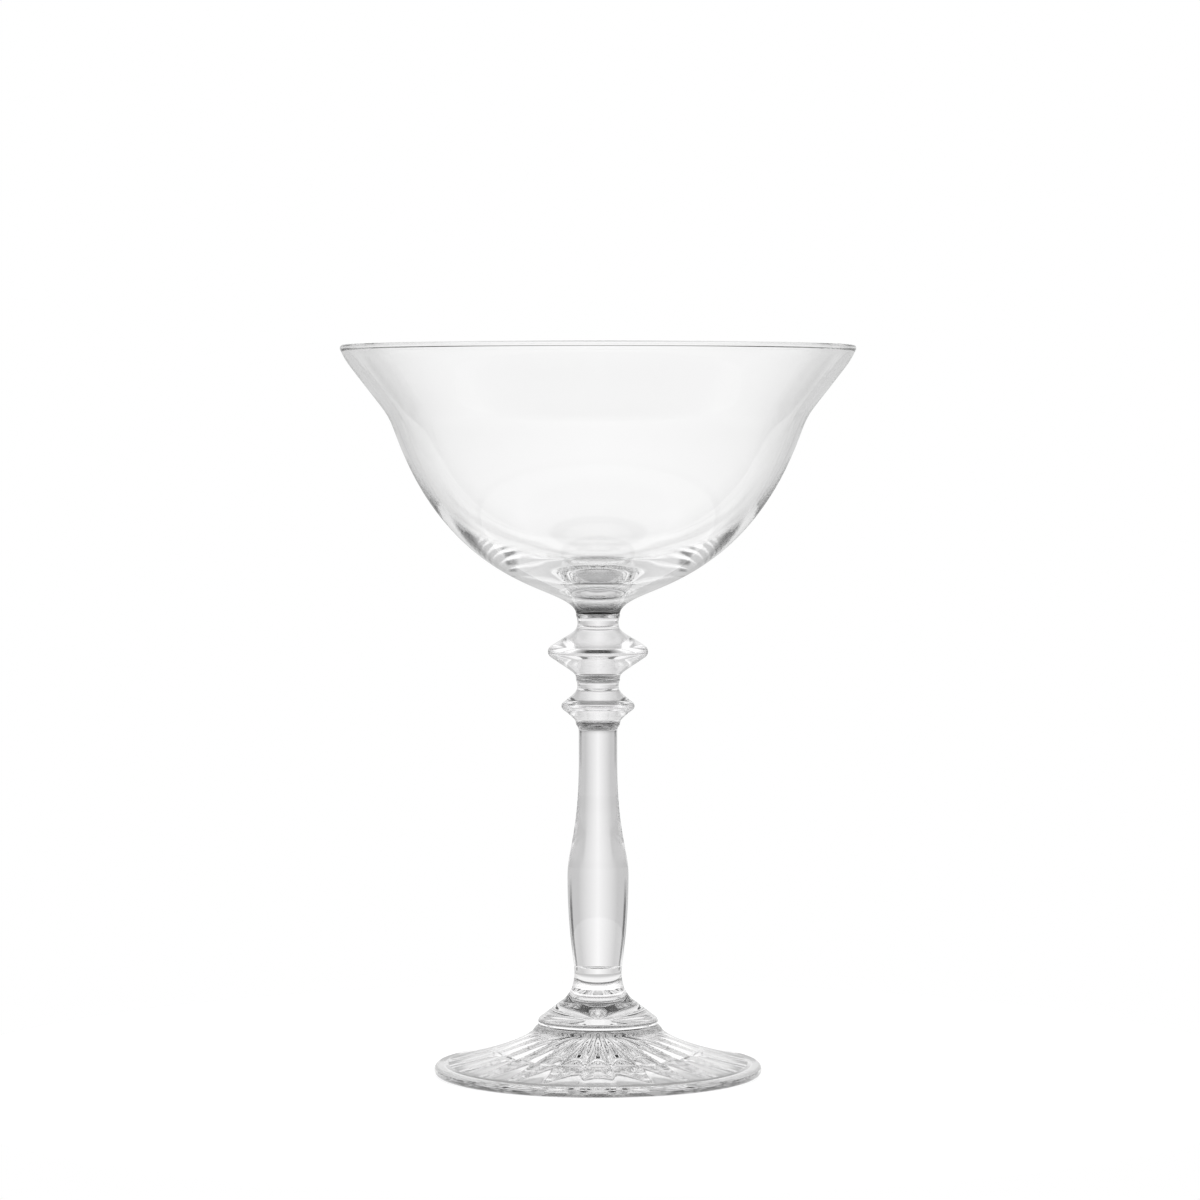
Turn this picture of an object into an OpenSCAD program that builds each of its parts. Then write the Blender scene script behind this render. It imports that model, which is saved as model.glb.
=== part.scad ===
// Coupe glass: a thin flared bowl on a knopped baluster stem and a pressed, fluted foot.
// Millimetres, Z up, origin at the middle of the ring that rests on the table.
// Every piece is a gather of glass, seated face to face on the one below it.

/* [Bowl] */
// Outside diameter of the rim
rim_d = 112; // [106:0.5:118]
// Height of the bowl above its joint with the upper knop
bowl_h = 58.3; // [56:0.1:64]
// Diameter half way up the lip, where its curve turns
lip_d = 104.6; // [100:0.2:105.4]
// Drop from the rim's top to the turn of the lip's curve
lip_drop = 6.6; // [5.4:0.1:9]
// Diameter at the waist, where the cup opens out into the lip
waist_d = 87.4; // [82:0.2:92]
// Drop from the rim's top to the waist
waist_drop = 20.1; // [17:0.1:23]
// Diameter at the root, where the cup leaves the fillet over the joint
root_d = 19.2; // [16:0.2:22]
// Height of the root above the joint
root_h = 3.9; // [3.4:0.1:4.6]
// Thickness of the wall from the rim to the waist
wall_t = 1.1; // [0.9:0.05:1.4]
// Thickness that the wall nears as it runs down to the root
root_t = 5.8; // [5:0.1:6.4]
// Thickness of glass under the drink, on the axis
floor_t = 6.6; // [5.8:0.1:7.4]
// Radius inside which the drink's side is a shallow rounded floor
floor_r = 17; // [15:0.2:20]
// How far the fire-polished bead that closes the rim stands proud of the wall
bead_proud = 0.1; // [0.05:0.01:0.2]

/* [Knops] */
// Diameter of the joint between the bowl and the upper knop
bowl_joint_d = 9.6; // [9:0.1:10.4]
// Height of the upper knop
upper_knop_h = 14.1; // [13.4:0.1:15]
// Diameter over the edge of the upper knop
upper_knop_d = 21.8; // [20:0.2:24]
// Height of the upper knop's edge above its lower joint
upper_edge_h = 5.8; // [5.4:0.1:6.2]
// Rounding of the upper knop's edge
upper_edge_r = 1.5; // [1.2:0.05:1.8]
// Slope of the upper knop's flanks, in degrees
upper_flank = 34; // [31:0.5:37]
// Diameter of the narrow neck above the upper knop's edge
upper_neck_d = 8.94; // [8.4:0.02:9.4]
// Drop from the upper knop's top to that neck
upper_neck_drop = 1.8; // [1.4:0.1:2.2]
// Diameter of the joint between the two knops
knop_joint_d = 9.6; // [9:0.1:10.4]
// Height of the lower knop
lower_knop_h = 9.8; // [9.3:0.1:10.6]
// Diameter over the edge of the lower knop
lower_knop_d = 15.9; // [15:0.1:18]
// Height of the lower knop's edge above its lower joint
lower_edge_h = 3.75; // [3.5:0.05:4]
// Rounding of the lower knop's edge
lower_edge_r = 1.05; // [0.9:0.05:1.2]
// Slope of the lower knop's flanks, in degrees
lower_flank = 38; // [35:0.5:41]
// Diameter of the narrow neck above the lower knop's edge
lower_neck_d = 9; // [8.5:0.05:9.4]
// Drop from the lower knop's top to that neck
lower_neck_drop = 1.4; // [1.1:0.05:1.7]

/* [Shaft] */
// Diameter of the joint between the lower knop and the shaft
shaft_top_d = 9.7; // [9:0.1:10.4]
// Length of the shaft
shaft_h = 53.1; // [51:0.1:60]
// Diameter of the slender upper part of the shaft
slim_d = 8.36; // [7.6:0.02:9]
// Length of the short flare at the top of the shaft
shaft_flare_h = 1.7; // [1.4:0.1:2.2]
// Length of the straight slender part under that flare
slim_len = 6.4; // [3:0.2:10]
// Diameter of the swelling
swell_d = 13.3; // [12:0.1:15]
// Height of the swelling above the lower joint
swell_h = 19.7; // [17:0.1:22]
// Diameter of the joint between the shaft and the foot
foot_joint_d = 10.4; // [9.8:0.1:11]

/* [Foot] */
// Diameter of the foot
foot_d = 71.6; // [68:0.2:78]
// Height of the foot, from the table to its joint with the shaft
foot_h = 23.6; // [22.4:0.1:27]
// Rounding of the foot's edge, half of its thickness there
foot_edge_r = 1.15; // [1:0.05:1.3]
// Diameter of the neck of the foot
foot_neck_d = 10.24; // [9.6:0.02:10.8]
// Height of the neck's straight part
foot_neck_h = 1.2; // [0.8:0.1:1.6]
// Diameter of the crease between the neck and the shoulder
crease_d = 15.9; // [15:0.1:17]
// Height of the crease above the table
crease_h = 16; // [15.6:0.1:16.6]
// Width of the small ledge at the crease
crease_ledge = 0.18; // [0.1:0.02:0.3]
// Diameter over the shoulder
shoulder_d = 26.2; // [25:0.1:27]
// Height of the widest line of the shoulder above the table
shoulder_h = 11.5; // [11.2:0.1:12]
// Rounding of the shoulder
shoulder_r = 1.1; // [0.9:0.05:1.3]
// Slope of the flank that falls from the crease to the shoulder, in degrees
shoulder_flank = 36; // [34:0.5:38]
// Diameter at which the flare starts under the shoulder
flare_d = 28; // [27.4:0.1:29]
// Height at which the flare starts
flare_h = 9.85; // [9.4:0.05:10.2]

/* [Underside] */
// Width of the flat ring that rests on the table
rest_w = 1.4; // [1:0.1:2]
// Height of the resting ring under the domed underside
rest_h = 0.7; // [0.5:0.05:0.9]
// Height of the domed underside's tip above the table
dome_h = 7.6; // [6.8:0.1:8.2]
// Number of flutes pressed round the underside, in each of two rings
flute_count = 24; // [16:4:28]
// Radius at which the inner flutes start
inner_from_r = 3; // [2.6:0.1:4]
// Radius at which the inner flutes end
inner_to_r = 17.4; // [16.4:0.1:17.8]
// Depth of the inner flutes at their outer end
inner_depth = 0.75; // [0.5:0.05:0.9]
// Radius at which the collar between the two rings of flutes starts
collar_r = 17.9; // [17.9:0.1:18.3]
// Width of the collar
collar_w = 1.7; // [1.3:0.1:1.9]
// Height by which the collar stands out
collar_t = 0.45; // [0.3:0.05:0.6]
// Radius at which the outer flutes start
outer_from_r = 20.3; // [20.3:0.1:22]
// Plain margin between the outer flutes and the resting ring
outer_margin = 0.9; // [0.7:0.1:1.4]
// Depth of the outer flutes at their outer end
outer_depth = 0.4; // [0.25:0.05:0.6]

/* [Hidden] */
$fn = 96;
// Depth of the fine groove that shows where two gathers meet
seam = 0.12;
// Radius of the rim's bead
bead_r = wall_t / 2 + bead_proud;
// Segments in a curve and in a rounding
curve_steps = 16;
round_steps = 8;
// Heights of the joints above the table
shaft_z = foot_h;
lower_knop_z = shaft_z + shaft_h;
upper_knop_z = lower_knop_z + lower_knop_h;
bowl_z = upper_knop_z + upper_knop_h;
// Directions of the bowl's outline, in degrees from level, at its turning points
joint_angle = 85;
root_angle = 24;
waist_angle = 69.5;
lip_angle = 52.5;
rim_angle = 68;
// Directions of the shaft's outline at its two ends
shaft_low_angle = 82;
shaft_top_angle = 60;
// Directions of the foot's outline: into the crease, out of the shoulder, and along the flare
crease_angle = -44;
under_angle = -98;
flare_angle = -57;
edge_angle = -9.5;
// Lengths of the curves' handles, as shares of the chord between their ends
fillet_shares = [0.29, 0.21];
cup_shares = [0.15, 0.58];
lip_shares = [0.4, 0.7];
turn_shares = [0.39, 0.37];
floor_shares = [0.35, 0.35];
flank_low_shares = [0.14, 0.8];
flank_high_shares = [0.72, 0.3];
neck_shares = [0.4, 0.4];
swell_low_shares = [0.24, 0.46];
swell_high_shares = [0.22, 0.62];
foot_neck_shares = [0.55, 0.2];
shoulder_shares = [0.3, 0.3];
under_shares = [0.4, 0.4];
flare_shares = [0.17, 0.24];
// Part of each flute's pitch that is cut, the rest is the ridge between two flutes
flute_width_share = 0.94;
// Radius of the flat middle of the dome
crown_r = 2.2;
// Radius at which the flutes would narrow to nothing
tip_r = 1;
// Passes in which the flutes are cut, so that those cut together lie clear of each other
flute_pass_count = 4;
// Radius of the inside of the resting ring
rest_in_r = foot_d / 2 - foot_edge_r - rest_w;
// Slope of the underside's dome, in degrees
dome_slope = atan((dome_h - rest_h) / rest_in_r);
// Colour of the glass and how much it covers what is behind it
glass_shares = [0.86, 0.92, 0.94];
cover_share = 0.5;

// Point at a distance from another, in a direction given in degrees
function along(p, reach, angle) = p + reach * [cos(angle), sin(angle)];

// Point of a cubic curve with four control points, at share t
function cubic(p, t) =
    pow(1 - t, 3) * p[0] + 3 * pow(1 - t, 2) * t * p[1]
    + 3 * (1 - t) * t * t * p[2] + t * t * t * p[3];

// Curve that leaves a in one direction and arrives at b in another, without its first point
function curve(a, angle_a, b, angle_b, shares) =
    let (chord = norm(b - a),
         p = [a, along(a, shares[0] * chord, angle_a), along(b, -shares[1] * chord, angle_b), b])
    [for (i = [1 : curve_steps]) cubic(p, i / curve_steps)];

// Points of a rounding about a centre, from one direction to another, without the first
function rounding(centre, r, angle_a, angle_b) =
    [for (i = [1 : round_steps]) along(centre, r, angle_a + (angle_b - angle_a) * i / round_steps)];

// Point of an outline moved inwards by a distance, square to its neighbours
function inward(points, i, distance) =
    let (a = points[max(i - 1, 0)],
         b = points[min(i + 1, len(points) - 1)],
         run = (b - a) / norm(b - a))
    points[i] + distance * [-run[1], run[0]];

function reversed(points) = [for (i = [len(points) - 1 : -1 : 0]) points[i]];

module glass() {
    color(glass_shares, cover_share) children();
}

// Outside of the bowl, from the root up to the rim's bead
function bowl_outside(bead) =
    let (root = [root_d / 2, root_h],
         waist = [waist_d / 2, bowl_h - waist_drop],
         lip = [lip_d / 2, bowl_h - lip_drop],
         rim = along(bead, bead_r, rim_angle - 90))
    concat([root],
           curve(root, root_angle, waist, waist_angle, cup_shares),
           curve(waist, waist_angle, lip, lip_angle, lip_shares),
           curve(lip, lip_angle, rim, rim_angle, turn_shares));

// Thickness of the bowl's wall at a point of its outside
function wall_at(i) =
    let (root_share = max(0, 1 - i / curve_steps))
    wall_t + (root_t - wall_t) * root_share * root_share;

module bowl() {
    bead = [rim_d / 2 - bead_r, bowl_h - bead_r];
    outside = bowl_outside(bead);
    last = len(outside) - 1;
    wall = [for (i = [0 : last - 1])
        let (p = inward(outside, i, wall_at(i)))
        if (norm(p - bead) > bead_r + seam) p];
    start = len([for (p = wall) if (p[0] < floor_r) p]);
    inside = [for (i = [start : len(wall) - 1]) wall[i]];
    run = wall[start + 1] - wall[start - 1];
    bead_end = rim_angle + 90 + acos((wall_t - bead_r) / bead_r);
    floor_run = curve([0, floor_t], 0, inside[0], atan2(run[1], run[0]), floor_shares);
    joint = [bowl_joint_d / 2, seam];
    profile = concat(
        [[0, 0], [bowl_joint_d / 2 - seam, 0], joint],
        curve(joint, joint_angle, outside[0], root_angle, fillet_shares),
        [for (i = [1 : last]) outside[i]],
        rounding(bead, bead_r, rim_angle - 90, bead_end),
        reversed(inside),
        [for (i = [curve_steps - 2 : -1 : 0]) floor_run[i]],
        [[0, floor_t]]);
    glass() translate([0, 0, bowl_z]) rotate_extrude() polygon(profile);
}

// A knop from its lower joint up: a flank, a rounded edge, a second flank and a narrow neck
function knop_profile(low_d, edge_d, edge_h, edge_r, flank, neck_d, neck_drop, top_d, top_h) =
    let (centre = [edge_d / 2 - edge_r, edge_h],
         low = [low_d / 2, seam],
         neck = [neck_d / 2, top_h - neck_drop],
         top = [top_d / 2, top_h - seam],
         low_end = along(centre, edge_r, flank - 90),
         high_end = along(centre, edge_r, 90 - flank))
    concat([[0, 0], [low_d / 2 - seam, 0], low],
           curve(low, 90, low_end, flank, flank_low_shares),
           rounding(centre, edge_r, flank - 90, 90 - flank),
           curve(high_end, 180 - flank, neck, 90, flank_high_shares),
           curve(neck, 90, top, joint_angle, neck_shares),
           [[top_d / 2 - seam, top_h], [0, top_h]]);

module upper_knop() {
    profile = knop_profile(knop_joint_d, upper_knop_d, upper_edge_h, upper_edge_r, upper_flank,
                           upper_neck_d, upper_neck_drop, bowl_joint_d, upper_knop_h);
    glass() translate([0, 0, upper_knop_z]) rotate_extrude() polygon(profile);
}

module lower_knop() {
    profile = knop_profile(shaft_top_d, lower_knop_d, lower_edge_h, lower_edge_r, lower_flank,
                           lower_neck_d, lower_neck_drop, knop_joint_d, lower_knop_h);
    glass() translate([0, 0, lower_knop_z]) rotate_extrude() polygon(profile);
}

// Solid baluster: swelling low down, slender above, with a short flare under the lower knop
module stem_shaft() {
    low = [foot_joint_d / 2, seam];
    swell = [swell_d / 2, swell_h];
    slim = [slim_d / 2, shaft_h - shaft_flare_h - slim_len];
    flare = [slim_d / 2, shaft_h - shaft_flare_h];
    top = [shaft_top_d / 2, shaft_h - seam];
    profile = concat(
        [[0, 0], [foot_joint_d / 2 - seam, 0], low],
        curve(low, shaft_low_angle, swell, 90, swell_low_shares),
        curve(swell, 90, slim, 90, swell_high_shares),
        [flare],
        curve(flare, 90, top, shaft_top_angle, neck_shares),
        [[shaft_top_d / 2 - seam, shaft_h], [0, shaft_h]]);
    glass() translate([0, 0, shaft_z]) rotate_extrude() polygon(profile);
}

// Height of the domed underside at a radius
function dome_z(r) = dome_h - r * tan(dome_slope);

// Outline of the foot's top: neck, crease, shoulder and flare, down to the edge
function foot_top(edge) =
    let (neck = [foot_neck_d / 2, foot_h - foot_neck_h],
         crease = [crease_d / 2, crease_h],
         shoulder = [shoulder_d / 2 - shoulder_r, shoulder_h],
         shoulder_top = along(shoulder, shoulder_r, 90 - shoulder_flank),
         shoulder_low = along(shoulder, shoulder_r, under_angle + 90),
         flare = [flare_d / 2, flare_h],
         edge_top = along(edge, foot_edge_r, 90 + edge_angle))
    concat([[0, foot_h], [foot_joint_d / 2 - seam, foot_h], [foot_joint_d / 2, foot_h - seam], neck],
           curve(neck, -90, crease - [crease_ledge, 0], crease_angle, foot_neck_shares),
           [crease],
           curve(crease, -shoulder_flank, shoulder_top, -shoulder_flank, shoulder_shares),
           rounding(shoulder, shoulder_r, 90 - shoulder_flank, under_angle + 90),
           curve(shoulder_low, under_angle, flare, flare_angle, under_shares),
           curve(flare, flare_angle, edge_top, edge_angle, flare_shares),
           rounding(edge, foot_edge_r, 90 + edge_angle, -90));

// Outline of the foot's underside: resting ring, step, dome with its collar, and flat crown
function foot_under() =
    let (collar_out_r = collar_r + collar_w)
    [[rest_in_r, 0],
     [rest_in_r, rest_h],
     [collar_out_r, dome_z(collar_out_r)],
     [collar_out_r, dome_z(collar_out_r) - collar_t],
     [collar_r, dome_z(collar_r) - collar_t],
     [collar_r, dome_z(collar_r)],
     [crown_r, dome_z(crown_r)],
     [0, dome_z(crown_r)]];

// Cutter for one flute: a cone with its tip on the dome near the axis, so that the flute's
// edges run straight outwards and its bed sinks evenly to the depth at its outer end
module flute_cutter(from_r, to_r, depth) {
    reach = (to_r - tip_r) / cos(dome_slope);
    dip = atan(depth / reach);
    half_width = atan(flute_width_share * to_r * sin(180 / flute_count) / reach);
    tilt = atan((cos(dip) - cos(half_width)) / sin(dip));
    taper = tilt + dip;
    reach_share = cos(tilt) / cos(dome_slope);
    near = (from_r - tip_r) * reach_share;
    far = (to_r - tip_r) * reach_share;
    translate([tip_r, 0, dome_z(tip_r)])
        rotate([0, 90 + dome_slope + tilt, 0])
            translate([0, 0, near])
                cylinder(h = far - near, r1 = near * tan(taper), r2 = far * tan(taper));
}

// Foot after some passes: each pass cuts every fourth flute of both rings out of the last
module fluted(passes) {
    edge = [foot_d / 2 - foot_edge_r, foot_edge_r];
    if (passes == 0) rotate_extrude() polygon(concat(foot_top(edge), foot_under()));
    else difference() {
        fluted(passes - 1);
        for (i = [passes : flute_pass_count : flute_count]) rotate([0, 0, i * 360 / flute_count]) {
            flute_cutter(inner_from_r, inner_to_r, inner_depth);
            flute_cutter(outer_from_r, rest_in_r - outer_margin, outer_depth);
        }
    }
}

// Pressed foot, fluted underneath in two rings with a collar between them
module foot() {
    glass() fluted(flute_pass_count);
}

foot();
stem_shaft();
lower_knop();
upper_knop();
bowl();
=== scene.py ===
"""Looks of the coupe glass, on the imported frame: clear glass on a white table.

Every piece is a fine mesh turned about the glass's axis. The outlines are written in
millimetres, as (radius, height), and turned into metres when the mesh is made.
"""
from math import acos, asin, atan, atan2, cos, degrees, hypot, pi, radians, sin, tan

import bmesh
import bpy
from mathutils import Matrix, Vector


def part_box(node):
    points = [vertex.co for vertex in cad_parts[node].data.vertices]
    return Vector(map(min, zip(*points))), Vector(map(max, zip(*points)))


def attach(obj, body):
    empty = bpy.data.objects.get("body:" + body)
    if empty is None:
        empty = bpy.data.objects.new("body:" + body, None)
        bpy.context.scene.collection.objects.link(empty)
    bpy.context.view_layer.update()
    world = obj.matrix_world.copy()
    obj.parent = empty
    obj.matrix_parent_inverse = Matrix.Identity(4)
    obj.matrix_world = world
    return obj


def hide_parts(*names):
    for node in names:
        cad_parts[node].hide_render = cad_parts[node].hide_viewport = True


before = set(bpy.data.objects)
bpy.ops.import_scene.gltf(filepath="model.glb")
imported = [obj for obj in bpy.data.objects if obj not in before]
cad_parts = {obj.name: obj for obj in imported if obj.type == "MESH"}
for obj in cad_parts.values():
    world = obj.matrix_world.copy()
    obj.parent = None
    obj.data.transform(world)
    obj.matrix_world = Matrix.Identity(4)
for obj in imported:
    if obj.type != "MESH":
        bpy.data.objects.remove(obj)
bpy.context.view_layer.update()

MM = 0.001
ROOT = "root"

# Heights of the joints, in millimetres, read from the frame
shaft_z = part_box("foot")[1][2] / MM
lower_knop_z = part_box("stem_shaft")[1][2] / MM
upper_knop_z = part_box("lower_knop")[1][2] / MM
bowl_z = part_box("upper_knop")[1][2] / MM
top_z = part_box("bowl")[1][2] / MM

# Outer radii of the pieces, read from the frame
rim_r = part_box("bowl")[1][0] / MM
upper_knop_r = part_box("upper_knop")[1][0] / MM
lower_knop_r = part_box("lower_knop")[1][0] / MM
swell_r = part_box("stem_shaft")[1][0] / MM
foot_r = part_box("foot")[1][0] / MM

# Fineness of the meshes: steps in a curve and in a rounding, steps across one flute, and points
# in one turn round the axis
CURVE_STEPS = 32
ROUND_STEPS = 12
FLUTE_COUNT = 24
FLUTE_STEPS = 12
TURN_POINTS = FLUTE_COUNT * (FLUTE_STEPS + 2)

# Directions of an outline, in degrees from level, and a quarter turn
UP = 90
DOWN = -90
QUARTER = 90

# Depth of the fine groove where two gathers of glass meet, radii of those joints, and direction
# of the outline there
SEAM = 0.12
bowl_joint_r = 4.8
knop_joint_r = 4.8
shaft_top_r = 4.85
foot_joint_r = 5.2
joint_dir = 85

# Handles of short curves, as shares of the chord
EVEN_SHARES = (0.4, 0.4)


def along(p, reach, direction):
    """Point at a distance from p, in a direction given in degrees from level."""
    return (p[0] + reach * cos(radians(direction)), p[1] + reach * sin(radians(direction)))


def curve(a, dir_a, b, dir_b, shares, steps=CURVE_STEPS):
    """Cubic curve from a to b, without a: handles are shares of the chord."""
    chord = hypot(b[0] - a[0], b[1] - a[1])
    c = along(a, shares[0] * chord, dir_a)
    d = along(b, -shares[1] * chord, dir_b)
    points = []
    for i in range(1, steps + 1):
        t = i / steps
        k = ((1 - t) ** 3, 3 * (1 - t) ** 2 * t, 3 * (1 - t) * t * t, t ** 3)
        points.append(tuple(k[0] * a[j] + k[1] * c[j] + k[2] * d[j] + k[3] * b[j] for j in (0, 1)))
    return points


def rounding(centre, r, dir_a, dir_b):
    """Arc about a centre, without its first point."""
    turn = dir_b - dir_a
    return [along(centre, r, dir_a + turn * i / ROUND_STEPS) for i in range(1, ROUND_STEPS + 1)]


def straight(a, b, steps):
    """Evenly spaced points from a to b, without a."""
    return [tuple(a[j] + (b[j] - a[j]) * i / steps for j in (0, 1)) for i in range(1, steps + 1)]


def inward(points, i, distance):
    """Point of an outline moved inwards, square to its neighbours."""
    a = points[max(i - 1, 0)]
    b = points[min(i + 1, len(points) - 1)]
    run = hypot(b[0] - a[0], b[1] - a[1])
    return (points[i][0] - distance * (b[1] - a[1]) / run,
            points[i][1] + distance * (b[0] - a[0]) / run)


def raised(points, z):
    """Outline lifted by a height."""
    return [(r, h + z) for r, h in points]


# Bowl: turning points of its outside, with drops measured from the rim's top, and its directions
root = (9.6, 3.9)
waist_r, waist_drop = 43.7, 20.1
lip_r, lip_drop = 52.3, 6.6
root_dir, waist_dir, lip_dir, rim_dir = 24, 69.5, 52.5, 68

# Handles of its curves: joint to root, root to waist, waist to lip, lip to rim, and the floor
base_shares, belly_shares = (0.29, 0.21), (0.15, 0.58)
flare_shares, lip_shares = (0.4, 0.7), (0.39, 0.37)
floor_shares = (0.35, 0.35)

# Thickness of its wall, of the wall at the root and of the floor, and the floor's radius
wall_t, root_t, floor_t, floor_r = 1.1, 5.8, 6.6, 17

# How far the rim's bead stands out from the wall, and the bead's radius
bead_proud = 0.1
bead_r = wall_t / 2 + bead_proud


def bowl_outline():
    """From the joint up the outside, over the bead, down the inside and to the axis."""
    bowl_h = top_z - bowl_z
    bead = (rim_r - bead_r, bowl_h - bead_r)
    waist = (waist_r, bowl_h - waist_drop)
    lip = (lip_r, bowl_h - lip_drop)
    rim = along(bead, bead_r, rim_dir - QUARTER)
    outside = [root] + curve(root, root_dir, waist, waist_dir, belly_shares)
    outside += curve(waist, waist_dir, lip, lip_dir, flare_shares)
    outside += curve(lip, lip_dir, rim, rim_dir, lip_shares)
    wall = []
    for i in range(len(outside) - 1):
        share = max(0, 1 - i / CURVE_STEPS)
        p = inward(outside, i, wall_t + (root_t - wall_t) * share * share)
        if hypot(p[0] - bead[0], p[1] - bead[1]) > bead_r + SEAM:
            wall.append(p)
    start = sum(p[0] < floor_r for p in wall)
    inside = wall[start:]
    before, after = wall[start - 1], wall[start + 1]
    floor_edge_dir = degrees(atan2(after[1] - before[1], after[0] - before[0]))
    bead_end = rim_dir + QUARTER + degrees(acos((wall_t - bead_r) / bead_r))
    joint = (bowl_joint_r, SEAM)
    floor_run = curve((0, floor_t), 0, inside[0], floor_edge_dir, floor_shares)
    points = [(0, 0), (bowl_joint_r - SEAM, 0), joint]
    points += curve(joint, joint_dir, root, root_dir, base_shares)
    points += outside[1:]
    points += rounding(bead, bead_r, rim_dir - QUARTER, bead_end)
    points += inside[::-1] + floor_run[-2::-1] + [(0, floor_t)]
    return raised(points, bowl_z)


# Knops: height and rounding of the edge, slope of the flanks, radius and drop of the neck
upper_edge_h, upper_round_r, upper_flank, upper_neck_r, upper_neck_drop = 5.8, 1.5, 34, 4.47, 1.8
lower_edge_h, lower_round_r, lower_flank, lower_neck_r, lower_neck_drop = 3.75, 1.05, 38, 4.5, 1.4

# Handles of both knops' curves: joint to edge, and edge to neck
below_edge_shares, above_edge_shares = (0.14, 0.8), (0.72, 0.3)


def knop_outline(low_r, edge_r, edge_h, round_r, flank, neck_r, neck_drop, top_r, top_h):
    """From the lower joint up: a flank, a rounded edge, a second flank and a narrow neck."""
    centre = (edge_r - round_r, edge_h)
    low = (low_r, SEAM)
    neck = (neck_r, top_h - neck_drop)
    top = (top_r, top_h - SEAM)
    low_turn = flank - QUARTER
    points = [(0, 0), (low_r - SEAM, 0), low]
    points += curve(low, UP, along(centre, round_r, low_turn), flank, below_edge_shares)
    points += rounding(centre, round_r, low_turn, -low_turn)
    points += curve(points[-1], 2 * QUARTER - flank, neck, UP, above_edge_shares)
    points += curve(neck, UP, top, joint_dir, EVEN_SHARES, ROUND_STEPS)
    return points + [(top_r - SEAM, top_h), (0, top_h)]


def upper_knop_outline():
    """The wide knop right under the bowl."""
    points = knop_outline(knop_joint_r, upper_knop_r, upper_edge_h, upper_round_r, upper_flank,
                          upper_neck_r, upper_neck_drop, bowl_joint_r, bowl_z - upper_knop_z)
    return raised(points, upper_knop_z)


def lower_knop_outline():
    """The smaller knop on the shaft."""
    points = knop_outline(shaft_top_r, lower_knop_r, lower_edge_h, lower_round_r, lower_flank,
                          lower_neck_r, lower_neck_drop, knop_joint_r, upper_knop_z - lower_knop_z)
    return raised(points, lower_knop_z)


# Shaft
def shaft_outline():
    """Baluster: a swelling low down, a slender part above, a short flare at the top."""
    shaft_h = lower_knop_z - shaft_z
    slim_r, slim_len = 4.18, 6.4
    flare_h = 1.7
    swell_h = 19.7
    slim_steps = 4
    low_dir, top_dir = 82, 60
    swell_shares, taper_shares = (0.24, 0.46), (0.22, 0.62)
    low = (foot_joint_r, SEAM)
    swell = (swell_r, swell_h)
    slim = (slim_r, shaft_h - flare_h - slim_len)
    flare = (slim_r, shaft_h - flare_h)
    top = (shaft_top_r, shaft_h - SEAM)
    points = [(0, 0), (foot_joint_r - SEAM, 0), low]
    points += curve(low, low_dir, swell, UP, swell_shares)
    points += curve(swell, UP, slim, UP, taper_shares)
    points += straight(slim, flare, slim_steps)
    points += curve(flare, UP, top, top_dir, EVEN_SHARES, ROUND_STEPS)
    return raised(points + [(shaft_top_r - SEAM, shaft_h), (0, shaft_h)], shaft_z)


# Foot: rounding of its edge, width and height of the ring it rests on, and heights of the crease
# and of the corner under the shoulder
edge_r = 1.15
rest_w = 1.4
rest_h = 0.7
rest_in_r = foot_r - edge_r - rest_w
crease_h, corner_h = 16.0, 9.85

# Domed underside: its height on the axis, radius of its flat crown, and slope in degrees
dome_h = 7.6
crown_r = 2.2
dome_slope = degrees(atan((dome_h - rest_h) / rest_in_r))

# Two rows of flutes, which would narrow to nothing at the tip's radius: the radii of their ends,
# and their depth at the outer end. The gap lies between the outer row and the resting ring.
tip_r = 1.0
outer_gap = 0.9
inner_from_r, inner_to_r, inner_depth = 3.0, 21.5, 0.8
outer_from_r, outer_to_r, outer_depth = 22.5, rest_in_r - outer_gap, 0.25

# Width of a flute as a share of its pitch, run of the steps at its ends, and how many rings of
# points lie along each row
flute_width_share = 0.94
step_run = 0.05
outer_steps, inner_steps = 24, 40


def dome_z(r):
    """Height of the dome at a radius."""
    return dome_h - r * tan(radians(dome_slope))


def foot_top():
    """From the joint down: neck, crease, shoulder, flare and edge."""
    neck_r, neck_h = 5.12, 1.2
    crease = (7.95, crease_h)
    crease_ledge = 0.18
    shoulder_r, shoulder_h, shoulder_round_r, flank = 13.1, 11.5, 1.1, 36
    corner = (14.0, corner_h)
    crease_dir, under_dir, corner_dir, edge_dir = -44, -98, -57, -9.5
    neck_shares, spread_shares = (0.55, 0.2), (0.17, 0.24)
    flank_steps = 8
    neck = (neck_r, shaft_z - neck_h)
    ledge = (crease[0] - crease_ledge, crease[1])
    edge = (foot_r - edge_r, edge_r)
    edge_top = along(edge, edge_r, edge_dir + QUARTER)
    shoulder = (shoulder_r - shoulder_round_r, shoulder_h)
    shoulder_top = along(shoulder, shoulder_round_r, QUARTER - flank)
    points = [(0, shaft_z), (foot_joint_r - SEAM, shaft_z), (foot_joint_r, shaft_z - SEAM), neck]
    points += curve(neck, DOWN, ledge, crease_dir, neck_shares)
    points += [crease]
    points += straight(crease, shoulder_top, flank_steps)
    points += rounding(shoulder, shoulder_round_r, QUARTER - flank, under_dir + QUARTER)
    points += curve(points[-1], under_dir, corner, corner_dir, EVEN_SHARES, ROUND_STEPS)
    points += curve(corner, corner_dir, edge_top, edge_dir, spread_shares)
    points += rounding(edge, edge_r, edge_dir + QUARTER, DOWN)
    return points


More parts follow.
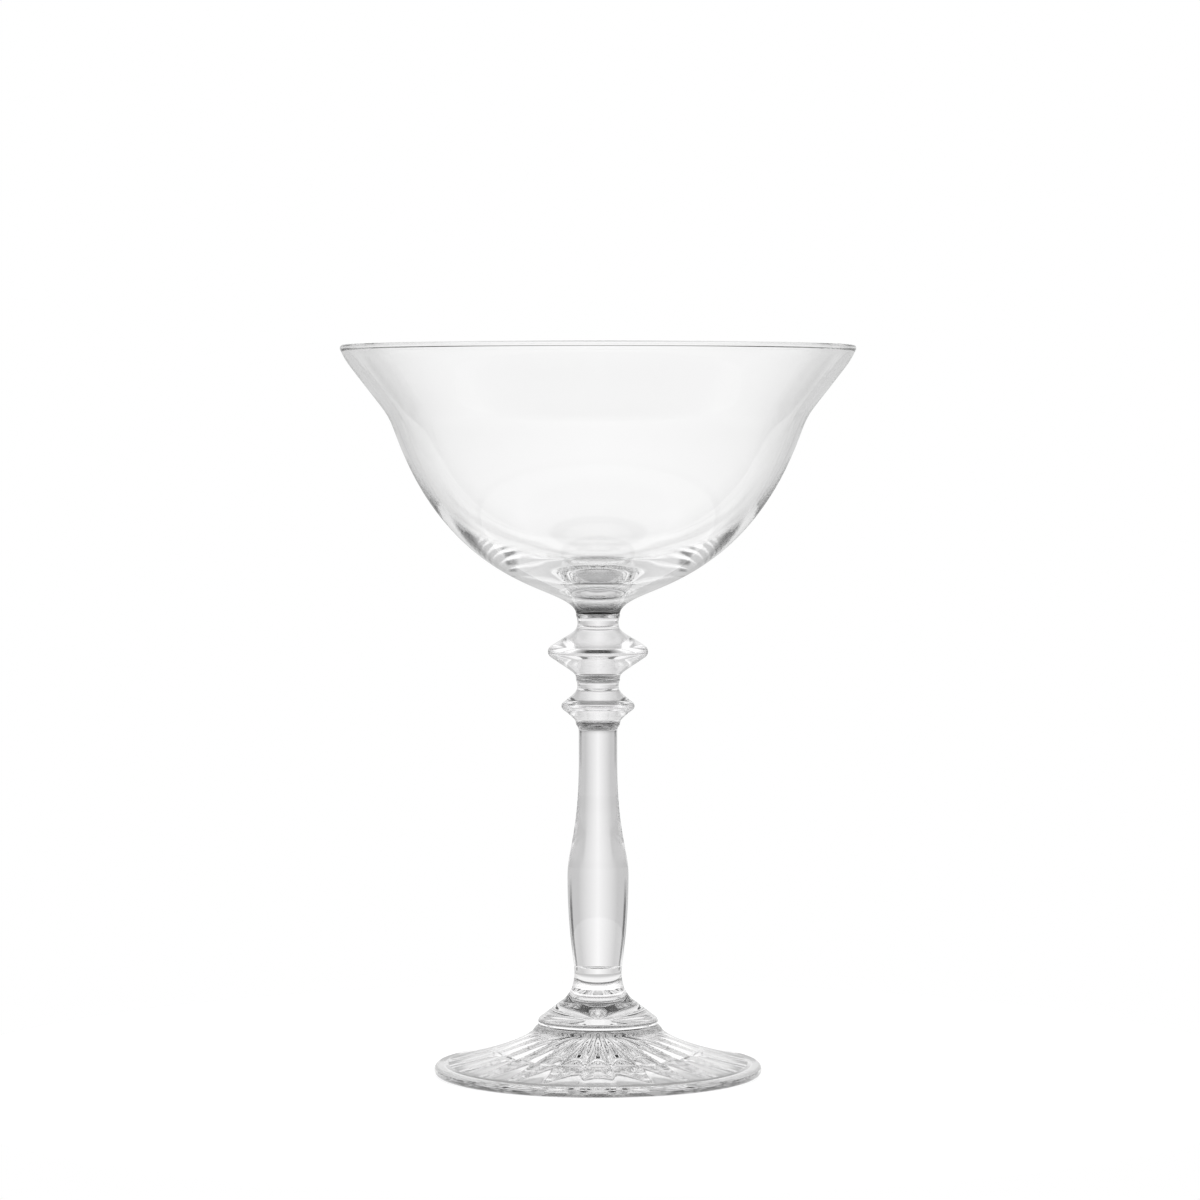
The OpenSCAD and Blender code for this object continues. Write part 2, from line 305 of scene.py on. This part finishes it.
def flute_rings(from_r, to_r, depth, steps):
    """Rings of one row of flutes, outer end first: radius, depth of the flutes, half width."""
    rings = [(to_r + step_run, 0, None)]
    for i in range(steps + 1):
        r = to_r + (from_r - to_r) * i / steps
        share = (r - tip_r) / (to_r - tip_r)
        half = flute_width_share * to_r * sin(pi / FLUTE_COUNT) * share
        rings.append((r, depth * share, half))
    return rings + [(from_r - step_run, 0, None)]


def bed(u, half, depth):
    """Height of a flute's round bed over the dome, at a distance u from its middle line."""
    big_r = (half * half + depth * depth) / (2 * depth)
    return max(0.0, (big_r * big_r - u * u) ** 0.5 - (big_r - depth))


def fan(half_turn):
    """Angles round the axis: across each flute from edge to edge, and the ridge's middle."""
    pitch = 2 * pi / FLUTE_COUNT
    angles = []
    for k in range(FLUTE_COUNT):
        for i in range(FLUTE_STEPS + 1):
            angles.append(k * pitch + half_turn * (2 * i / FLUTE_STEPS - 1))
        angles.append((k + 0.5) * pitch)
    return angles


# Angles of the points in a ring without flutes, which are those of a row's outer end
even = fan(asin(flute_width_share * sin(pi / FLUTE_COUNT)))


def ring(r, z):
    """One turn of points, or the single point on the axis."""
    if r == 0:
        return [(0, 0, z)]
    return [(r * cos(a), r * sin(a), z) for a in even]


def fluted_rows(rings):
    """Points of each ring of a row of flutes, lifted to the flutes' beds."""
    rows = []
    for r, depth, half in rings:
        if half is None:
            rows.append(ring(r, dome_z(r)))
            continue
        row = []
        for n, angle in enumerate(fan(asin(half / r))):
            place = n % (FLUTE_STEPS + 2)
            u = half * (2 * place / FLUTE_STEPS - 1)
            lift = bed(u, half, depth) if place <= FLUTE_STEPS else 0
            row.append((r * cos(angle), r * sin(angle), dome_z(r) + lift))
        rows.append(row)
    return rows


def foot_under():
    """Rings of the underside, from the resting ring in: points of one turn for each ring."""
    rows = [ring(rest_in_r, 0), ring(rest_in_r, rest_h)]
    rows += fluted_rows(flute_rings(outer_from_r, outer_to_r, outer_depth, outer_steps))
    rows += fluted_rows(flute_rings(inner_from_r, inner_to_r, inner_depth, inner_steps))
    return rows + [ring(crown_r, dome_z(crown_r)), [(0, 0, dome_z(crown_r))]]


# Meshes: angle between two faces, in degrees, from which their edge stays sharp. The foot's is
# smaller, for the ridges between its flutes.
SHARP = 25
FOOT_SHARP = 8

# A face lies in a joint when its normal is this upright and its height is this close
UPRIGHT = 0.9999
NEAR_MM = 0.001


def turned_outline(outline):
    """Row of points for each point of an outline."""
    return [ring(r, z) for r, z in outline]


def turned(name, rows, node, material, joint_heights, sharp=SHARP):
    """Closed mesh over rows of points, as the piece that stands for a node."""
    verts = []
    starts = []
    for row in rows:
        starts.append(len(verts))
        verts += [(x * MM, y * MM, z * MM) for x, y, z in row]
    faces = []
    for k in range(len(rows) - 1):
        a, b = starts[k], starts[k + 1]
        for i in range(TURN_POINTS):
            j = (i + 1) % TURN_POINTS
            if len(rows[k]) == 1:
                faces.append((a, b + i, b + j))
            elif len(rows[k + 1]) == 1:
                faces.append((a + j, a + i, b))
            else:
                faces.append((a + j, a + i, b + i, b + j))
    mesh = bpy.data.meshes.new(name)
    mesh.from_pydata(verts, [], faces)
    mesh.materials.append(material)
    mesh.materials.append(fused)
    work = bmesh.new()
    work.from_mesh(mesh)
    bmesh.ops.recalc_face_normals(work, faces=work.faces)
    for edge in work.edges:
        edge.smooth = edge.calc_face_angle(0) < radians(sharp)
    for face in work.faces:
        face.smooth = True
        height = face.calc_center_median().z / MM
        near = any(abs(height - z) < NEAR_MM for z in joint_heights)
        if near and abs(face.normal.z) > UPRIGHT:
            face.material_index = 1
    work.to_mesh(mesh)
    work.free()
    piece = bpy.data.objects.new(name, mesh)
    bpy.context.scene.collection.objects.link(piece)
    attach(piece, ROOT)
    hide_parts(node)
    return piece


# Glass: colours of the pieces, of the film in their joints and of the light in their shadow
GLASS_IOR = 1.52
bowl_tint = (0.985, 0.985, 0.985)
stem_tint = (0.955, 0.95, 0.955)
foot_tint = (0.97, 0.965, 0.967)
film_tint = (0.77, 0.77, 0.77)
shadow_tint = (0.93, 0.935, 0.94)

# Faint waves in its surface: their depth, and their length on each piece, in millimetres
WAVE_DEPTH = 0.01
bowl_wave, stem_wave, foot_wave = 30, 12, 6

# Level of the painted shade where the glass isn't darkened
CLEAR = 1.0


def painted_dark_line(bottom, top, fade, clearness):
    """Stops of a painted dark line of shade that holds from bottom to top and fades to clear on both
    sides.
    """
    return [(bottom - fade, CLEAR), (bottom, clearness), (top, clearness), (top + fade, CLEAR)]


# Painted shade in the glass's colour: dark lines close to its joints, in the crease, under the
# shoulder and at the foot's edge, painted where the glass shows dark by refraction. Heights in
# millimetres, and how clear the glass is there
bowl_painted_shade = [(bowl_z + 0.1, 0.0), (bowl_z + 1.3, 0.06), (bowl_z + 2.0, 0.4), (bowl_z + 3.2, CLEAR)]
stem_painted_shade = [(lower_knop_z - 2.2, CLEAR), (lower_knop_z - 0.9, 0.5), (lower_knop_z - 0.1, 0.2),
               (lower_knop_z + 0.3, 0.2), (lower_knop_z + 0.7, CLEAR),
               (upper_knop_z - 0.7, CLEAR), (upper_knop_z - 0.2, 0.4), (upper_knop_z + 0.7, 0.3),
               (upper_knop_z + 1.2, CLEAR), (bowl_z - 0.7, CLEAR), (bowl_z - 0.2, 0.4)]
foot_painted_shade = [(0.1, 0.2), (1.1, 0.35), (2.0, 0.85), (2.6, CLEAR)]
foot_painted_shade += painted_dark_line(corner_h + 0.15, corner_h + 0.65, 0.4, 0.25)
foot_painted_shade += painted_dark_line(crease_h - 0.3, crease_h + 0.1, 0.3, 0.4)
foot_painted_shade += painted_dark_line(crease_h + 1.3, crease_h + 1.3, 0.3, 0.4)


def new_material(name):
    """Material with nothing but its output node."""
    material = bpy.data.materials.new(name)
    material.use_nodes = True
    tree = material.node_tree
    tree.nodes.clear()
    return material, tree, tree.nodes.new("ShaderNodeOutputMaterial")


def calculated(tree, operation, *values):
    """Output of a Math node, whose values are numbers or outputs of other nodes."""
    node = tree.nodes.new("ShaderNodeMath")
    node.operation = operation
    for i, value in enumerate(values):
        if isinstance(value, (int, float)):
            node.inputs[i].default_value = value
        else:
            tree.links.new(value, node.inputs[i])
    return node.outputs[0]


def ramp(tree, metres, greatest, stops):
    """Grey level at a length given in metres: it runs straight from stop to stop.

    Each stop is a length and a level. Stops and the greatest length are in millimetres.
    """
    node = tree.nodes.new("ShaderNodeValToRGB")
    elements = node.color_ramp.elements
    elements.remove(elements[1])
    for i, (length, level) in enumerate(stops):
        share = length / greatest
        element = elements.new(share) if i else elements[0]
        element.position = share
        element.color = (level, level, level, 1)
    tree.links.new(calculated(tree, "DIVIDE", metres, greatest * MM), node.inputs["Fac"])
    return node.outputs["Color"]


def glass(name, tint, wave, painted_shades):
    """Clear glass with faint waves and painted shade in its colour at some heights: lamps shine
    through it, so its shadow is pale.
    """
    material, tree, output = new_material(name)
    nodes, link = tree.nodes, tree.links.new
    shader = nodes.new("ShaderNodeBsdfPrincipled")
    shader.inputs["Base Color"].default_value = (*tint, 1)
    shader.inputs["Roughness"].default_value = 0.0
    shader.inputs["IOR"].default_value = GLASS_IOR
    shader.inputs["Transmission Weight"].default_value = 1.0
    place = nodes.new("ShaderNodeTexCoord")
    split = nodes.new("ShaderNodeSeparateXYZ")
    link(place.outputs["Object"], split.inputs["Vector"])
    # Painted shade: the tint is darkened by the shade stops at each height
    painted_shading = nodes.new("ShaderNodeMix")
    painted_shading.data_type = "RGBA"
    painted_shading.blend_type = "MULTIPLY"
    painted_shading.inputs["Factor"].default_value = 1.0
    painted_shading.inputs["A"].default_value = (*tint, 1)
    link(ramp(tree, split.outputs["Z"], top_z, painted_shades), painted_shading.inputs["B"])
    link(painted_shading.outputs["Result"], shader.inputs["Base Color"])
    noise = nodes.new("ShaderNodeTexNoise")
    noise.inputs["Scale"].default_value = 1 / (wave * MM)
    noise.inputs["Detail"].default_value = 1.0
    bump = nodes.new("ShaderNodeBump")
    bump.inputs["Strength"].default_value = 1.0
    bump.inputs["Distance"].default_value = WAVE_DEPTH * MM
    link(place.outputs["Object"], noise.inputs["Vector"])
    link(noise.outputs["Fac"], bump.inputs["Height"])
    link(bump.outputs["Normal"], shader.inputs["Normal"])
    clear = nodes.new("ShaderNodeBsdfTransparent")
    clear.inputs["Color"].default_value = (*shadow_tint, 1)
    path = nodes.new("ShaderNodeLightPath")
    mix = nodes.new("ShaderNodeMixShader")
    link(path.outputs["Is Shadow Ray"], mix.inputs["Fac"])
    link(shader.outputs["BSDF"], mix.inputs[1])
    link(clear.outputs["BSDF"], mix.inputs[2])
    link(mix.outputs["Shader"], output.inputs["Surface"])
    return material


def fused_joint():
    """Inside of the glass where two gathers were melted together: a faint grey film."""
    material, tree, output = new_material("fused_joint")
    clear = tree.nodes.new("ShaderNodeBsdfTransparent")
    clear.inputs["Color"].default_value = (*film_tint, 1)
    tree.links.new(clear.outputs["BSDF"], output.inputs["Surface"])
    return material


fused = fused_joint()
bowl_glass = glass("bowl_glass", bowl_tint, bowl_wave, bowl_painted_shade)
stem_glass = glass("stem_glass", stem_tint, stem_wave, stem_painted_shade)
foot_glass = glass("foot_glass", foot_tint, foot_wave, foot_painted_shade)

turned("foot_glass", turned_outline(foot_top()) + foot_under(),
       "foot", foot_glass, [shaft_z], sharp=FOOT_SHARP)
turned("stem_shaft_glass", turned_outline(shaft_outline()),
       "stem_shaft", stem_glass, [shaft_z, lower_knop_z])
turned("lower_knop_glass", turned_outline(lower_knop_outline()),
       "lower_knop", stem_glass, [lower_knop_z, upper_knop_z])
turned("upper_knop_glass", turned_outline(upper_knop_outline()),
       "upper_knop", stem_glass, [upper_knop_z, bowl_z])
turned("bowl_glass", turned_outline(bowl_outline()),
       "bowl", bowl_glass, [bowl_z])


# Table: its radius in millimetres and the corners of its edge, the colour of its dull part, the
# strength of its glow, and the glow's share in the mix
table_r = 150
TABLE_CORNERS = 96
table_white = (0.9, 0.9, 0.9)
table_glow, glow_share = 1.1, 0.6

# Painted light and shadow on the table as the glass sees it, by radius in millimetres: brighter than
# white near the axis, a painted dark ring of shadow round the foot's edge, dimmer far out
painted_table_levels = [(0, 1.2), (15, 1.2), (20, 0.8), (28, 0.8), (31, 0.2), (43, 0.2), (46, 1.0),
                (70, 1.0), (100, 0.6)]


def floor():
    """Round white table: it glows white by itself, and its dull part takes the shadow. To the glass
    it shows painted light and shadow by radius instead.
    """
    corners = []
    for i in range(TABLE_CORNERS):
        angle = 2 * pi * i / TABLE_CORNERS
        corners.append((table_r * MM * cos(angle), table_r * MM * sin(angle), 0))
    mesh = bpy.data.meshes.new("table_top")
    mesh.from_pydata(corners, [], [tuple(range(TABLE_CORNERS))])
    material, tree, output = new_material("white_table")
    nodes, link = tree.nodes, tree.links.new
    dull = nodes.new("ShaderNodeBsdfDiffuse")
    dull.inputs["Color"].default_value = (*table_white, 1)
    glow = nodes.new("ShaderNodeEmission")
    glow.inputs["Strength"].default_value = table_glow
    mix = nodes.new("ShaderNodeMixShader")
    mix.inputs["Fac"].default_value = glow_share
    link(dull.outputs["BSDF"], mix.inputs[1])
    link(glow.outputs["Emission"], mix.inputs[2])
    place = nodes.new("ShaderNodeTexCoord")
    radius = nodes.new("ShaderNodeVectorMath")
    radius.operation = "LENGTH"
    link(place.outputs["Object"], radius.inputs[0])
    # What the glass sees of the table: painted light and shadow by radius, not the lit table
    through = nodes.new("ShaderNodeEmission")
    link(ramp(tree, radius.outputs["Value"], table_r, painted_table_levels), through.inputs["Color"])
    path = nodes.new("ShaderNodeLightPath")
    pick = nodes.new("ShaderNodeMixShader")
    link(path.outputs["Is Transmission Ray"], pick.inputs["Fac"])
    link(mix.outputs["Shader"], pick.inputs[1])
    link(through.outputs["Emission"], pick.inputs[2])
    link(pick.outputs["Shader"], output.inputs["Surface"])
    mesh.materials.append(material)
    table = bpy.data.objects.new("table_top", mesh)
    bpy.context.scene.collection.objects.link(table)


floor()


# Studio: a wall all round, and before it pieces that are lighter or darker to the glass. For each
# come the two turns that it spans, counted both ways from straight ahead, the two tilts above
# level, its brightness, and the fades of its edges in turn and in tilt. Angles are in degrees.
WALL = 1.0
seen_through = (
    ("floor below the table", (0, 180), (-90, -60), 0.75, (1, 25)),
    ("grey floor ahead", (25, 45), (-30, -18), 0.55, (5, 5)),
    ("grey wings", (30, 100), (-20, 5), 0.6, (30, 8)),
    ("narrow black flags", (52, 60), (-2, 5), 0.1, (4, 4)),
    ("softboxes", (50, 95), (10, 30), 1.15, (5, 4)),
    ("rear black flags", (105, 120), (-2, 18), 0.05, (15, 5)),
    ("gap over the backdrop", (0, 25), (20, 30), 0.0, (5, 4)),
    ("lit ceiling", (75, 180), (33, 55), 1.3, (15, 4)),
    ("black ceiling", (0, 180), (76, 90), 0.0, (1, 22)))

# The same for what the glass mirrors
MIRRORED_WALL = 0.6
seen_mirrored = (
    ("floor", (0, 180), (-90, -60), 0.9, (1, 30)),
    ("dark below", (60, 180), (-15, -5), 0.1, (60, 30)),
    ("backdrop", (0, 5), (15, 25), 1.15, (30, 20)),
    ("dark beside the backdrop", (38, 45), (15, 25), 0.0, (20, 20)),
    ("dark behind", (120, 180), (10, 25), 0.2, (40, 15)),
    ("dark over the backdrop", (0, 10), (45, 55), 0.0, (50, 25)))


def studio():
    """White to the camera and to the table, and the pieces above to the glass."""
    world = bpy.data.worlds.new("studio")
    bpy.context.scene.world = world
    world.use_nodes = True
    tree = world.node_tree
    tree.nodes.clear()
    nodes, link = tree.nodes, tree.links.new

    def math(operation, *values):
        return calculated(tree, operation, *values)

    def either(choice, a, b):
        """Colour a where the choice is 0, colour b where it is 1."""
        node = nodes.new("ShaderNodeMix")
        node.data_type = "RGBA"
        link(choice, node.inputs["Factor"])
        for name, value in (("A", a), ("B", b)):
            if isinstance(value, (int, float)):
                node.inputs[name].default_value = (value, value, value, 1)
            else:
                link(value, node.inputs[name])
        return node.outputs["Result"]

    def slope(angle, start, end):
        """0 up to the start and 1 from the end on."""
        node = nodes.new("ShaderNodeMapRange")
        node.inputs["From Min"].default_value = start
        node.inputs["From Max"].default_value = end
        link(angle, node.inputs["Value"])
        return node.outputs["Result"]

    def between(angle, ends, fade):
        """1 between the ends, and 0 beyond their fades."""
        start, end = ends
        return math("SUBTRACT", slope(angle, start - fade, start), slope(angle, end, end + fade))

    def walled(level, pieces):
        """The wall's level, with one piece after another laid over it."""
        for name, turns, tilts, brightness, fades in pieces:
            spot = math("MULTIPLY", between(turn, turns, fades[0]), between(tilt, tilts, fades[1]))
            spot.node.label = name
            level = either(spot, level, brightness)
        return level

    place = nodes.new("ShaderNodeTexCoord")
    split = nodes.new("ShaderNodeSeparateXYZ")
    link(place.outputs["Generated"], split.inputs["Vector"])
    x, y, z = split.outputs["X"], split.outputs["Y"], split.outputs["Z"]
    reach = math("SQRT", math("ADD", math("MULTIPLY", x, x), math("MULTIPLY", y, y)))
    turn = math("MULTIPLY", math("ARCCOSINE", math("DIVIDE", y, reach)), degrees(1))
    tilt = math("MULTIPLY", math("ARCSINE", z), degrees(1))
    path = nodes.new("ShaderNodeLightPath")
    seen = either(path.outputs["Is Transmission Ray"],
                  walled(MIRRORED_WALL, seen_mirrored), walled(WALL, seen_through))
    plain = math("ADD", path.outputs["Is Camera Ray"], path.outputs["Is Diffuse Ray"])
    background = nodes.new("ShaderNodeBackground")
    link(either(plain, seen, 1.0), background.inputs["Color"])
    background.inputs["Strength"].default_value = 1.0
    output = nodes.new("ShaderNodeOutputWorld")
    link(background.outputs["Background"], output.inputs["Surface"])


studio()


def softbox(name, place, aim, size, power):
    """Soft lamp that lights the table: the glass neither mirrors nor shows it.

    Place, aim and size are in metres, and the power is in watts.
    """
    lamp = bpy.data.lights.new(name, "AREA")
    lamp.size = size
    lamp.energy = power
    body = bpy.data.objects.new(name, lamp)
    body.location = place
    body.rotation_euler = (Vector(aim) - Vector(place)).to_track_quat("-Z", "Y").to_euler()
    body.visible_glossy = False
    body.visible_transmission = False
    bpy.context.scene.collection.objects.link(body)


softbox("top_softbox", place=(0.2, 0.3, 1.2), aim=(0, 0, 0), size=0.9, power=9.0)


# Camera: as far off and as high as the photograph's, in metres, and pitched down as it was, in
# degrees. The glass's axis lies a little left of the photograph's middle, in its pixels.
camera_distance, camera_height, camera_pitch = 0.94607, 0.14218, 2.339
sensor_width, lens, clip_start = 36, 130.5, 0.01
photo_width, axis_left = 1200, 2


def camera():
    """Camera that looks at the glass from the front."""
    data = bpy.data.cameras.new("camera")
    data.sensor_width = sensor_width
    data.lens = lens
    data.clip_start = clip_start
    body = bpy.data.objects.new("camera", data)
    body.location = (0, -camera_distance, camera_height)
    turn_right = atan(axis_left / (lens / sensor_width * photo_width))
    body.rotation_euler = (radians(QUARTER - camera_pitch), 0, -turn_right)
    bpy.context.scene.collection.objects.link(body)
    bpy.context.scene.camera = body


camera()

# Light passes many faces of clear glass before it leaves
BOUNCES = 48
scene = bpy.context.scene
scene.view_settings.view_transform = "Standard"
scene.cycles.max_bounces = BOUNCES
scene.cycles.transmission_bounces = BOUNCES
scene.cycles.glossy_bounces = BOUNCES
scene.cycles.transparent_max_bounces = BOUNCES
